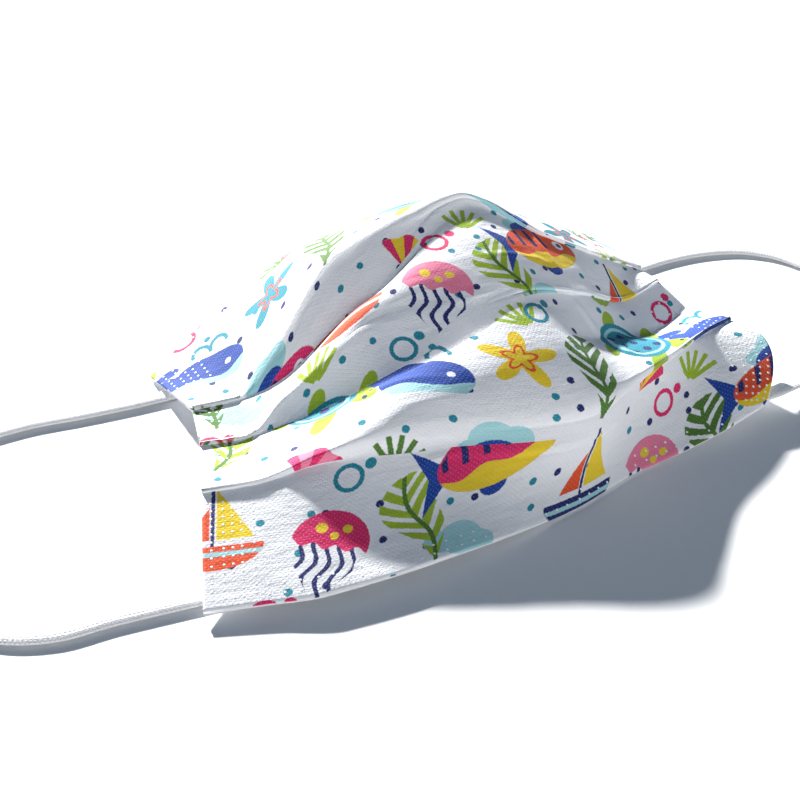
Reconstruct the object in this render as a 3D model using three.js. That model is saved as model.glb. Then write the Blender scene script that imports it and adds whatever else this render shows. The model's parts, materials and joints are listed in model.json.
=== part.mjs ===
// A child's disposable face mask: one pleated sheet of non-woven cloth, opened into a
// shallow dome and laid down with its outside up, and its two elastic ear loops.
// Millimetres. +X runs along the wearer's-left side, +Y towards the nose edge, +Z up.
import * as THREE from 'three';

// ---- Driving dimensions -------------------------------------------------------------

const wallThickness = 1.0; // the welded layers of cloth, as one wall
const hemWidth = 4; // folded hem along the chin edge
const hemRise = 0.6; // the stiff hem stays nearly level, with its inner edge this much higher
const footHeight = 0.95; // outside height where the cloth lies on the table
const restBand = 1.6; // inside closer to the table than this lies flat on it
const closedBack = 0.3; // a closed pleat is a step: how far the step leans back
const closedDrop = 1.5; // and how far it drops
const dentPlace = 0.42; // the deepest line of a dent, as a share of its panel
const sharpestMiter = 5; // inside corner of a pleat, in wall thicknesses
const widthSteps = 48; // facets across the mask

const loopWidth = 4.2; // flat elastic of an ear loop
const loopThickness = 1.5;
const loopSides = 8;
const loopSteps = 56;

// The body's box stands centred on the origin when the sections are shifted by this much.
const centring = { x: 0, y: 4.5 };

// Sections across the mask, as shares of its width.
const sections = {
  leftSide: 0,
  leftPinch: 0.083,
  leftOpening: 0.167,
  leftSlope: 0.333,
  crown: 0.583,
  rightSlope: 0.75,
  rightPinch: 0.917,
  rightSide: 1,
};

// Folds and edges from the nose to the chin. ends: X at the two sides; depth: Y and
// height: Z of the outside of the cloth at each section.
const folds = {
  noseEdge: {
    ends: [-63, 82],
    depth: [40, 43, 46, 49, 43, 34, 39, 39],
    height: [1, 8, 13, 23, 27, 23, 9, 1],
  },
  firstRidge: {
    ends: [-62, 65],
    depth: [10, 9, 12, 20, 19, 9, 9, 10],
    height: [9, 9, 17, 35, 44, 33, 20, 14],
  },
  secondRidge: {
    ends: [-65.5, 64],
    depth: [-4, -6, -2, -2, -11.8, -7.5, -2, 1],
    height: [9, 9, 14, 27.5, 32.8, 24, 14.5, 15],
  },
  thirdRidge: {
    ends: [-71.5, 70.5],
    depth: [-21.5, -25.5, -28, -31.5, -43, -34, -25, -20.5],
    height: [10, 11.5, 15.5, 19.5, 19.5, 16.1, 14.7, 12.8],
  },
  chinEdge: {
    ends: [-82, 60],
    depth: [-48, -52, -56.5, -58, -54, -49, -49, -48],
    height: [2.6, 3, 4.2, 5, footHeight, footHeight, 4, 6],
  },
};

// The underside of each pleat: how far its valley lies back from its ridge and below it.
const pleats = {
  first: {
    back: [closedBack, closedBack, -6.4, -14, -1.9, 0.8, closedBack, closedBack],
    drop: [closedDrop, closedDrop, 3.5, 6.7, 3, closedDrop, closedDrop, closedDrop],
  },
  second: {
    back: [closedBack, closedBack, -6, -12.8, -2.5, closedBack, closedBack, closedBack],
    drop: [closedDrop, closedDrop, 3.2, 6.1, closedDrop, closedDrop, closedDrop, closedDrop],
  },
  third: {
    back: [closedBack, closedBack, closedBack, -3, -2.5, closedBack, closedBack, closedBack],
    drop: [closedDrop, 2, 2.5, 6.5, 6, 2, closedDrop, closedDrop],
  },
};

// Panels between the folds: facets along the cloth, and how far the middle of an open
// panel bellies outwards. dent: how far it sinks again at each section, along one line.
const panels = {
  nosePanel: { steps: 4, belly: 1.5 },
  firstUnder: { steps: 1, belly: 0 },
  upperPanel: { steps: 3, belly: 1.5 },
  secondUnder: { steps: 1, belly: 0 },
  lowerPanel: { steps: 4, belly: 1.5, dent: [0, 0, 0, 0, 0, 5.5, 5, 3.5] },
  thirdUnder: { steps: 1, belly: 0 },
  chinPanel: { steps: 4, belly: -3 },
};

// Ear loops: centre line of the elastic from its upper weld to its lower one.
const earLoops = {
  ear_loop_left: [
    [-58, 30, 0.85],
    [-68, 30.5, 0.85],
    [-82, 32, 0.85],
    [-97, 34, 0.85],
    [-109, 33, 0.85],
    [-119, 28, 0.85],
    [-126, 17, 0.85],
    [-129, 3, 0.85],
    [-129, -11, 0.85],
    [-126, -24, 0.85],
    [-119, -34, 0.85],
    [-109, -39, 0.85],
    [-98, -40, 0.85],
    [-87, -41.5, 0.85],
    [-77, -43, 0.85],
  ],
  ear_loop_right: [
    [71, 30, 0.85],
    [80, 30, 0.85],
    [91, 30.5, 0.85],
    [103, 29, 0.85],
    [113, 25, 0.85],
    [120, 18, 0.85],
    [124, 8, 0.85],
    [126.5, -3, 0.85],
    [128, -15, 0.85],
    [126, -27, 0.85],
    [119, -36.5, 0.85],
    [108, -41, 0.85],
    [96, -41, 0.85],
    [86, -39.5, 1.6],
    [77, -40, 2.9],
    [67, -42, 4.2],
    [58, -42, 4.3],
  ],
};

// ---- Shape of the sheet -------------------------------------------------------------

const shares = Object.values(sections);

// A smooth curve through one value for each section, which never overshoots them.
function across(values, share) {
  const last = shares.length - 2;
  const slopes = shares.slice(1).map((u, i) => (values[i + 1] - values[i]) / (u - shares[i]));
  const tangent = (i) => {
    if (i === 0) return slopes[0];
    if (i > last) return slopes[last];
    const product = slopes[i - 1] * slopes[i];
    return product > 0 ? (2 * product) / (slopes[i - 1] + slopes[i]) : 0;
  };
  const found = shares.findIndex((u, i) => i <= last && share <= shares[i + 1]);
  const i = found < 0 ? last : found;
  const span = shares[i + 1] - shares[i];
  const t = (share - shares[i]) / span;
  const rise = t * t * (3 - 2 * t);
  return (
    values[i] * (1 - rise) +
    values[i + 1] * rise +
    tangent(i) * span * t * (1 - t) * (1 - t) -
    tangent(i + 1) * span * t * t * (1 - t)
  );
}

function foldPoint(fold, share) {
  return new THREE.Vector3(
    THREE.MathUtils.lerp(fold.ends[0], fold.ends[1], share) + centring.x,
    across(fold.depth, share) + centring.y,
    across(fold.height, share),
  );
}

function valleyPoint(ridge, pleat, share) {
  const point = foldPoint(ridge, share);
  point.y += across(pleat.back, share);
  point.z -= across(pleat.drop, share);
  return point;
}

// The eight lines that a section of the cloth passes through, from the nose to the chin.
function sectionLines(share) {
  const ridges = [folds.firstRidge, folds.secondRidge, folds.thirdRidge];
  const lines = [foldPoint(folds.noseEdge, share)];
  Object.values(pleats).forEach((pleat, i) => {
    lines.push(foldPoint(ridges[i], share), valleyPoint(ridges[i], pleat, share));
  });
  lines.push(foldPoint(folds.chinEdge, share));
  return lines;
}

// Panels lie flat in the two side welds and belly out between them.
function bellyShare(share) {
  const inside = (share - sections.leftPinch) / (sections.rightPinch - sections.leftPinch);
  return Math.sin(Math.PI * THREE.MathUtils.clamp(inside, 0, 1));
}

// How far a panel's dent sinks it at a place between its two folds.
function dentSink(panel, share, t) {
  if (!panel.dent) return 0;
  return across(panel.dent, share) * Math.min(t / dentPlace, (1 - t) / (1 - dentPlace));
}

// One section of the outside of the cloth, with a row at the hem's inner edge.
function sectionRow(share) {
  const lines = sectionLines(share);
  const row = [lines[0].clone()];
  Object.values(panels).forEach((panel, i) => {
    const along = new THREE.Vector3().subVectors(lines[i + 1], lines[i]);
    const outward = new THREE.Vector3(0, along.z, -along.y).normalize();
    const isChin = i === lines.length - 2;
    const hemShare = isChin ? 1 - hemWidth / along.length() : 1;
    for (let step = 1; step <= panel.steps; step += 1) {
      const t = (step / panel.steps) * hemShare;
      const point = lines[i].clone().addScaledVector(along, t);
      const rise = panel.belly * bellyShare(share) * 4 * t * (1 - t) - dentSink(panel, share, t);
      row.push(point.addScaledVector(outward, rise));
    }
    if (isChin) {
      const hemTop = row[row.length - 1];
      hemTop.z = Math.min(hemTop.z, lines[i + 1].z + hemRise);
      row.push(lines[i + 1].clone());
    }
  });
  return row;
}

// Which points of a section are folds, so that the wall is mitred there.
function foldFlags() {
  const flags = [false];
  Object.values(panels).forEach((panel) => {
    for (let step = 1; step <= panel.steps; step += 1) flags.push(step === panel.steps);
  });
  flags[flags.length - 1] = false;
  flags.push(false);
  return flags;
}

// The inside of the wall: each outside point moved in by the wall's thickness, further at
// a fold, and flat on the table where it all but touches it.
function insideGrid(outside) {
  const isFold = foldFlags();
  return outside.map((row, i) =>
    row.map((point, j) => {
      const before = outside[Math.max(i - 1, 0)][j];
      const after = outside[Math.min(i + 1, outside.length - 1)][j];
      const acrossMask = new THREE.Vector3().subVectors(after, before);
      const sideNormal = (from, to) =>
        new THREE.Vector3().subVectors(to, from).cross(acrossMask).normalize();
      const up = j > 0 ? sideNormal(row[j - 1], point) : null;
      const down = j < row.length - 1 ? sideNormal(point, row[j + 1]) : null;
      const normal = new THREE.Vector3();
      if (up) normal.add(up);
      if (down) normal.add(down);
      normal.normalize();
      const lean = up && down && isFold[j] ? Math.max(normal.dot(up), 1 / sharpestMiter) : 1;
      const inner = point.clone().addScaledVector(normal, -wallThickness / lean);
      if (inner.z < restBand) inner.z = 0;
      return inner;
    }),
  );
}

function sheetGeometry() {
  const outside = [];
  for (let i = 0; i <= widthSteps; i += 1) outside.push(sectionRow(i / widthSteps));
  const inside = insideGrid(outside);
  const rows = outside.length;
  const columns = outside[0].length;
  const positions = [...outside, ...inside].flat().flatMap((p) => [p.x, p.y, p.z]);
  const out = (i, j) => i * columns + j;
  const inn = (i, j) => (rows + i) * columns + j;
  const triangles = [];
  const quad = (a, b, c, d) => triangles.push(a, b, c, a, c, d);
  for (let i = 0; i < rows - 1; i += 1) {
    for (let j = 0; j < columns - 1; j += 1) {
      quad(out(i, j), out(i, j + 1), out(i + 1, j + 1), out(i + 1, j));
      quad(inn(i, j), inn(i + 1, j), inn(i + 1, j + 1), inn(i, j + 1));
    }
    quad(out(i, 0), out(i + 1, 0), inn(i + 1, 0), inn(i, 0));
    quad(inn(i, columns - 1), inn(i + 1, columns - 1), out(i + 1, columns - 1), out(i, columns - 1));
  }
  for (let j = 0; j < columns - 1; j += 1) {
    quad(out(0, j), inn(0, j), inn(0, j + 1), out(0, j + 1));
    quad(out(rows - 1, j), out(rows - 1, j + 1), inn(rows - 1, j + 1), inn(rows - 1, j));
  }
  const geometry = new THREE.BufferGeometry();
  geometry.setAttribute('position', new THREE.Float32BufferAttribute(positions, 3));
  geometry.setIndex(triangles);
  geometry.computeVertexNormals();
  return geometry;
}

// ---- Ear loops ----------------------------------------------------------------------

function loopGeometry(route) {
  const points = route.map(([x, y, z]) => new THREE.Vector3(x + centring.x, y + centring.y, z));
  const reach = 0.5 / Math.cos(Math.PI / loopSides);
  const corners = Array.from({ length: loopSides }, (_, i) => {
    const angle = ((i + 0.5) / loopSides) * 2 * Math.PI;
    return new THREE.Vector2(
      loopThickness * reach * Math.cos(angle),
      loopWidth * reach * Math.sin(angle),
    );
  });
  return new THREE.ExtrudeGeometry(new THREE.Shape(corners), {
    steps: loopSteps,
    extrudePath: new THREE.CatmullRomCurve3(points, false, 'centripetal'),
    bevelEnabled: false,
  });
}

// ---- Assembly -----------------------------------------------------------------------

const cloth = new THREE.MeshStandardMaterial({ color: '#f4f5f8', roughness: 0.9, metalness: 0 });
const elastic = new THREE.MeshStandardMaterial({ color: '#f7f7f9', roughness: 0.95, metalness: 0 });

const mask = new THREE.Group();

const body = new THREE.Mesh(sheetGeometry(), cloth);
body.name = 'mask_body';
mask.add(body);

for (const [name, route] of Object.entries(earLoops)) {
  const loop = new THREE.Mesh(loopGeometry(route), elastic);
  loop.name = name;
  mask.add(loop);
}

export default mask;
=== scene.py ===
"""A child's disposable face mask of printed, pleated non-woven cloth, laid outside up.

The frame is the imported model's: +X across the mask, +Y towards the nose edge and +Z up.
Sizes are in millimetres and are turned into the scene's metres where a mesh, a light or
the camera is made. Flat places are measured on the unfolded cloth, from its left side
and down from its nose edge.
"""

import json
import logging
import math
from collections.abc import Callable, Iterator
from dataclasses import dataclass
from enum import Enum

import bpy
import numpy as np
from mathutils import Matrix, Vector

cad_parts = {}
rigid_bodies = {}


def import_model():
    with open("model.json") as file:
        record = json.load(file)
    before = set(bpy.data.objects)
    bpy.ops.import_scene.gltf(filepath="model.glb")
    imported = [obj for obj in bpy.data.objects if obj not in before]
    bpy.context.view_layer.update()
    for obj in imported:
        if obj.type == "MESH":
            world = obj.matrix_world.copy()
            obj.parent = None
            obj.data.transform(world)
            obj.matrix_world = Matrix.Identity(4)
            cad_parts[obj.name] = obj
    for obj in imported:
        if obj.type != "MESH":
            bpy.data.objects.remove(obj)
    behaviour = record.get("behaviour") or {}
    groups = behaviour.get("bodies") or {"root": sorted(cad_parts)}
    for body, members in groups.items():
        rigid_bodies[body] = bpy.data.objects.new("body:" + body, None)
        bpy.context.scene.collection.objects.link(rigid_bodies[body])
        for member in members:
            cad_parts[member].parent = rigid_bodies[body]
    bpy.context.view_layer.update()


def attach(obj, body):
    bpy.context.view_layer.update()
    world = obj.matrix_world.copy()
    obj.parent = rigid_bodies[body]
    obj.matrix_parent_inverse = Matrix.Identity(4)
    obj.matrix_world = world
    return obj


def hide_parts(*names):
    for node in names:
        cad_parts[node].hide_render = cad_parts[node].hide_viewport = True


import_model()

LOG = logging.getLogger("mask")
MM = 0.001
ROOT = "root"
CENTRING = np.array([0.0, 4.5, 0.0])  # the body's box stands centred on the origin

Row = tuple[float, ...]
Point = tuple[float, float, float]
Rgba = tuple[float, float, float, float]


# ---- Shape tables -------------------------------------------------------------------


class Section(Enum):
    """Sections across the mask, as shares of its width."""

    LEFT_SIDE = 0.0
    LEFT_PINCH = 0.083
    LEFT_OPENING = 0.167
    LEFT_SLOPE = 0.333
    CROWN = 0.583
    RIGHT_SLOPE = 0.75
    RIGHT_PINCH = 0.917
    RIGHT_SIDE = 1.0


SHARES = np.array([s.value for s in Section])
FLAT_WIDTH = 145.0  # the cloth's width from weld to weld
LYING_HEIGHT = 0.9  # outside of cloth that lies on the table


def smooth_step(t: np.ndarray) -> np.ndarray:
    """Returns a smooth rise from 0 to 1 as t goes from 0 to 1."""
    t = np.clip(t, 0.0, 1.0)
    return t * t * (3 - 2 * t)


def across(values: Row, share: np.ndarray) -> np.ndarray:
    """Runs a smooth curve, which never overshoots, through one value for each section.

    Args:
        values: the value at each section.
        share: places across the mask, from 0 to 1.

    Returns:
        The curve's value at each place.
    """
    v = np.asarray(values, float)
    spans = np.diff(SHARES)
    slopes = np.diff(v) / spans
    tangents = np.zeros_like(v)
    product = slopes[:-1] * slopes[1:]
    total = slopes[:-1] + slopes[1:]
    safe = np.where(total == 0, 1.0, total)
    tangents[1:-1] = np.where(product > 0, 2 * product / safe, 0.0)
    tangents[0], tangents[-1] = slopes[0], slopes[-1]
    i = np.clip(np.searchsorted(SHARES, share, side="right") - 1, 0, len(spans) - 1)
    t = (share - SHARES[i]) / spans[i]
    rise = smooth_step(t)
    return (
        v[i] * (1 - rise)
        + v[i + 1] * rise
        + tangents[i] * spans[i] * t * (1 - t) ** 2
        - tangents[i + 1] * spans[i] * t * t * (1 - t)
    )


@dataclass(frozen=True)
class FoldLine:
    """A fold or an edge of the cloth: X at its ends, and Y and Z at each section."""

    ends: tuple[float, float]
    depth: Row
    height: Row
    softness: Row

    def points(self, share: np.ndarray) -> np.ndarray:
        """Places the line.

        Args:
            share: the places across the mask, from 0 to 1.

        Returns:
            The points as an (n, 3) array in millimetres.
        """
        x = self.ends[0] + (self.ends[1] - self.ends[0]) * share
        at = np.stack([x, across(self.depth, share), across(self.height, share)], axis=1)
        return at + CENTRING


@dataclass(frozen=True)
class Pleat:
    """The underside of a pleat: how far its valley lies back from its ridge and below it."""

    back: Row
    drop: Row
    softness: Row

    def valley(self, ridge: FoldLine, share: np.ndarray) -> np.ndarray:
        """Places the valley under its ridge.

        Args:
            ridge: the ridge that it lies under.
            share: the places across the mask, from 0 to 1.

        Returns:
            The points as an (n, 3) array in millimetres.
        """
        at = ridge.points(share)
        at[:, 1] += across(self.back, share)
        at[:, 2] -= across(self.drop, share)
        return at


@dataclass(frozen=True)
class Panel:
    """Cloth between two folds: its flat length, its belly and how finely it is cut."""

    flat: float
    belly: float
    cuts: int
    hangs_from_top: bool = False  # its print starts at its upper fold, not at its lower one
    side_bow: float = 0.0  # how far its right end swells outwards
    dent: Row | None = None  # how far it sinks at each section, along one line
    belly_sharpness: float = 1.5
    bow_start: float = 0.86  # share across the mask where the side bow begins
    bow_roundness: float = 0.8
    bow_way: Point = (1.0, 0.0, 0.3)
    dent_place: float = 0.42  # the dent's deepest line, as a share of the panel
    dent_sharpness: float = 1.2

    def row(
        self, share: np.ndarray, t: np.ndarray, upper: np.ndarray, span: np.ndarray, outward: np.ndarray
    ) -> np.ndarray:
        """Places one row of the panel.

        Args:
            share: the columns' places across the mask.
            t: the row's place between the panel's two folds, at each column.
            upper: the fold at the panel's upper side.
            span: from that fold to the lower one.
            outward: unit directions out of the panel.

        Returns:
            The row's points in millimetres.
        """
        first, last = Section.LEFT_PINCH.value, Section.RIGHT_PINCH.value
        open_share = np.sin(np.pi * np.clip((share - first) / (last - first), 0, 1))[:, None]
        belly = self.belly * open_share * np.maximum(4 * t * (1 - t), 0) ** self.belly_sharpness
        placed = upper + span * t + outward * belly
        bow = self.side_bow * smooth_step((share - self.bow_start) / (1 - self.bow_start))[:, None]
        bow = bow * np.sin(np.pi * np.clip(t, 0, 1)) ** self.bow_roundness
        if self.dent:
            sink = np.minimum(t / self.dent_place, (1 - t) / (1 - self.dent_place))
            placed = placed - outward * sink**self.dent_sharpness * across(self.dent, share)[:, None]
        return placed + bow * np.array(self.bow_way)


@dataclass(frozen=True)
class Crease:
    """A faint crease that the cloth keeps from its packing, between two flat places."""

    start: tuple[float, float]
    end: tuple[float, float]
    lift: float
    width: float
    fade: float = 0.2  # share of its length over which each end fades out

    def over(self, u: np.ndarray, v: np.ndarray) -> np.ndarray:
        """Works out how far the crease lifts the cloth.

        Args:
            u: flat places across the cloth, from its left side.
            v: flat places down the cloth, from its nose edge.

        Returns:
            The lift at each place in millimetres.
        """
        way = np.subtract(self.end, self.start)
        length = np.hypot(*way)
        east, south = u - self.start[0], v - self.start[1]
        along = (east * way[0] + south * way[1]) / length**2
        off = (east * way[1] - south * way[0]) / length
        fade = smooth_step(along / self.fade) * smooth_step((1 - along) / self.fade)
        return self.lift * fade * np.exp(-((off / self.width) ** 2))


class ClothNoise:
    """Smooth random relief over the flat cloth, the same on every run."""

    def __init__(self, seed: int, cells: int = 256) -> None:
        """Draws the lattice of random values.

        Args:
            seed: the seed of the lattice.
            cells: how many cells it has each way before it repeats.
        """
        self.cells = cells
        self.lattice = np.random.default_rng(seed).uniform(-1, 1, (cells, cells))

    def corner(self, column: np.ndarray, row: np.ndarray) -> np.ndarray:
        """Returns the lattice's values at these corners of its cells."""
        return self.lattice[column % self.cells, row % self.cells]

    def at(self, x: np.ndarray, y: np.ndarray) -> np.ndarray:
        """Reads the relief.

        Args:
            x: places in lattice cells one way.
            y: places the other way.

        Returns:
            The relief at each place, from -1 to 1.
        """
        ix, iy = np.floor(x).astype(int), np.floor(y).astype(int)
        fx, fy = smooth_step(x - ix), smooth_step(y - iy)
        low = self.corner(ix, iy) * (1 - fx) + self.corner(ix + 1, iy) * fx
        high = self.corner(ix, iy + 1) * (1 - fx) + self.corner(ix + 1, iy + 1) * fx
        return low * (1 - fy) + high * fy


@dataclass(frozen=True)
class Ripple:
    """Crinkles of one size: their height, and how many there are to a millimetre each way."""

    seed: int
    height: float
    across: float
    down: float
    start: tuple[float, float]

    def over(self, x: np.ndarray, below: np.ndarray) -> np.ndarray:
        """Works out how far they lift the cloth.

        Args:
            x: places across the mask.
            below: flat places down the cloth, from its nose edge.

        Returns:
            The lift at each place in millimetres.
        """
        noise = ClothNoise(self.seed)
        place = (x * self.across + self.start[0], below * self.down + self.start[1])
        return self.height * noise.at(*place)


NOSE_EDGE = FoldLine(
    ends=(-63, 82),
    depth=(40, 43, 46, 49, 43, 34, 39, 39),
    height=(1, 8, 13, 23, 27, 23, 9, 1),
    softness=(0, 0, 0, 0, 0, 0, 0, 0),
)
RIDGES = (
    FoldLine(
        ends=(-62, 65),
        depth=(10, 9, 12, 20, 19, 11, 9.5, 10),
        height=(9, 9, 17, 35, 44, 31.5, 19.6, 14),
        softness=(0.4, 0.4, 0.6, 1.2, 3.5, 2.0, 0.6, 0.4),
    ),
    FoldLine(
        ends=(-65.5, 64),
        depth=(-4, -6, -2, -2, -11.8, -8.5, -2, 1),
        height=(9, 9, 14, 27.5, 32.8, 24.8, 14.5, 15),
        softness=(0.4, 0.4, 0.6, 1.6, 5.0, 1.5, 0.6, 0.4),
    ),
    FoldLine(
        ends=(-71.5, 70.5),
        depth=(-21.5, -25.5, -28, -31.5, -43, -34, -25, -20.5),
        height=(10, 11.5, 15.5, 19.5, 19.5, 16.1, 14.7, 12.8),
        softness=(0.4, 0.5, 1.0, 3.5, 4.5, 0.8, 0.5, 0.4),
    ),
)
PLEATS = (
    Pleat(
        back=(0.3, 0.3, -6.4, -14, -1.9, 0.8, 0.3, 0.3),
        drop=(0.6, 0.6, 3.5, 6.7, 3, 1.2, 0.6, 0.6),
        softness=(0.4, 0.4, 0.8, 1.2, 2.5, 1.0, 0.4, 0.4),
    ),
    Pleat(
        back=(0.3, 0.3, -6, -12.8, -2.5, 0.3, 0.3, 0.3),
        drop=(0.6, 0.6, 3.2, 6.1, 1.5, 1.2, 0.6, 0.6),
        softness=(0.4, 0.4, 1.0, 2.0, 3.0, 0.4, 0.4, 0.4),
    ),
    Pleat(
        back=(0.3, 0.3, 0.3, -3, -2.5, 0.3, 0.3, 0.3),
        drop=(0.6, 0.9, 2.5, 6.5, 6, 1.6, 0.6, 0.6),
        softness=(0.4, 0.4, 0.6, 2.0, 2.5, 0.6, 0.4, 0.4),
    ),
)
CHIN_EDGE = FoldLine(
    ends=(-82, 60),
    depth=(-48, -52, -56, -57.5, -54, -49, -48, -46.5),
    height=(2.4, 2.8, 3.5, 3.8, 0.95, 0.95, 3.5, 5),
    softness=(0, 0, 0, 0, 0, 0, 0, 0),
)
PANELS = (
    Panel(flat=32, belly=1.5, cuts=34),
    Panel(flat=12, belly=0, cuts=12, hangs_from_top=True),
    Panel(flat=27, belly=1.5, cuts=30),
    Panel(flat=12, belly=0, cuts=12, hangs_from_top=True),
    Panel(flat=27, belly=1.5, cuts=30, dent=(0, 0, 0, 0, 0, 5.5, 5, 3.5)),
    Panel(flat=7, belly=0, cuts=6, hangs_from_top=True),
    Panel(flat=31, belly=-2.5, cuts=34, side_bow=7),
)
CREASES = (
    Crease(start=(103, 45), end=(106, 74), lift=0.55, width=1.1),
    Crease(start=(105, 81), end=(110, 106), lift=0.55, width=1.1),
    Crease(start=(80, 60), end=(104, 62), lift=0.35, width=0.8),
    Crease(start=(42, 124), end=(84, 121), lift=0.35, width=0.9),
    Crease(start=(66, 129), end=(98, 133), lift=-0.35, width=1.0),
    Crease(start=(20, 95), end=(58, 99), lift=0.25, width=0.9),
)
RIPPLES = (
    Ripple(seed=7, height=0.06, across=0.11, down=0.30, start=(40, 20)),
    Ripple(seed=7, height=0.04, across=0.35, down=0.70, start=(90, 60)),
    Ripple(seed=23, height=0.50, across=0.05, down=0.06, start=(10, 5)),
)


# ---- Small tools --------------------------------------------------------------------


def walked_lengths(points: np.ndarray) -> np.ndarray:
    """Returns how far along its line each point lies, for (..., n, 3) points in lines of n."""
    steps = np.linalg.norm(np.diff(points, axis=-2), axis=-1)
    return np.concatenate([np.zeros((*steps.shape[:-1], 1)), np.cumsum(steps, axis=-1)], axis=-1)


def plain_mesh(
    name: str,
    points: np.ndarray,
    faces: np.ndarray,
    material: bpy.types.Material,
    uv: np.ndarray | None = None,
) -> bpy.types.Object:
    """Makes an object at the origin from points in metres.

    Args:
        name: the object's name.
        points: the corners, as an (n, 3) array.
        faces: corners of each four-sided face, as an (m, 4) array.
        material: the finish of every face.
        uv: the cloth's flat coordinates at each face corner, as an (m, 4, 2) array.

    Returns:
        The object, linked to the scene, with smooth faces.
    """
    mesh = bpy.data.meshes.new(name)
    mesh.from_pydata(points.tolist(), [], faces.tolist())
    if uv is not None:
        layer = mesh.uv_layers.new(name="cloth")
        layer.data.foreach_set("uv", uv.reshape(-1).astype(np.float32))
    mesh.polygons.foreach_set("use_smooth", np.ones(len(mesh.polygons), bool))
    mesh.materials.append(material)
    mesh.update()
    piece = bpy.data.objects.new(name, mesh)
    bpy.context.scene.collection.objects.link(piece)
    return piece


# ---- Node trees and shader maths ----------------------------------------------------


class Tree:
    """A node tree, with one way to add a node."""

    def __init__(self, tree: bpy.types.NodeTree) -> None:
        """Empties the tree.

        Args:
            tree: the tree to build.
        """
        self.tree = tree
        tree.nodes.clear()

    def node(self, kind: str, settings: dict | None = None, **sockets: object) -> bpy.types.Node:
        """Adds a node.

        Args:
            kind: the node's type.
            settings: its properties, set before its sockets.
            sockets: values or links by socket name, with _ for a space, or iN for input N.

        Returns:
            The node.
        """
        made = self.tree.nodes.new(kind)
        for key, value in (settings or {}).items():
            setattr(made, key, value)
        for key, value in sockets.items():
            is_number = key[0] == "i" and key[1:].isdigit()
            self.plug(made.inputs[int(key[1:]) if is_number else key.replace("_", " ")], value)
        return made

    def plug(self, socket: bpy.types.NodeSocket, value: object) -> None:
        """Links a socket to a wrapped socket, or sets its value."""
        if isinstance(value, Value):
            self.tree.links.new(value.socket, socket)
        else:
            socket.default_value = value

    def value(self, made: bpy.types.Node, output: int | str = 0) -> "Value":
        """Wraps one output of a node."""
        return Value(self, made.outputs[output])


class Shade(Tree):
    """The node tree of a material."""

    def __init__(self, name: str) -> None:
        """Makes a material with an empty tree.

        Args:
            name: the material's name.
        """
        self.material = bpy.data.materials.new(name)
        self.material.use_nodes = True
        super().__init__(self.material.node_tree)

    def flat_place(self) -> "Value":
        """Returns the place on the flat cloth or elastic, in millimetres."""
        source = self.value(self.node("ShaderNodeUVMap", {"uv_map": "cloth"}))
        return source.vector("MULTIPLY", (1 / MM, 1 / MM, 0.0))

    def flat_noise(self, place: "Value", scale: float, detail: float, output: int = 0) -> "Value":
        """Adds a noise texture over a flat place and returns one of its outputs."""
        made = self.node(
            "ShaderNodeTexNoise", {"noise_dimensions": "2D"}, Vector=place, Scale=scale, Detail=detail
        )
        return self.value(made, output)

    def bump(self, height: "Value", strength: float, distance: float) -> "Value":
        """Returns the normal of a relief whose full height is given in millimetres."""
        made = self.node(
            "ShaderNodeBump", Strength=strength, Distance=distance * MM, Height=height
        )
        return self.value(made)

    def finish(self, **sockets: object) -> bpy.types.Material:
        """Ends the tree in a shader.

        Args:
            sockets: the shader's sockets, as node takes them.

        Returns:
            The material.
        """
        shader = self.node("ShaderNodeBsdfPrincipled", **sockets)
        self.node("ShaderNodeOutputMaterial", Surface=self.value(shader))
        return self.material


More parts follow.
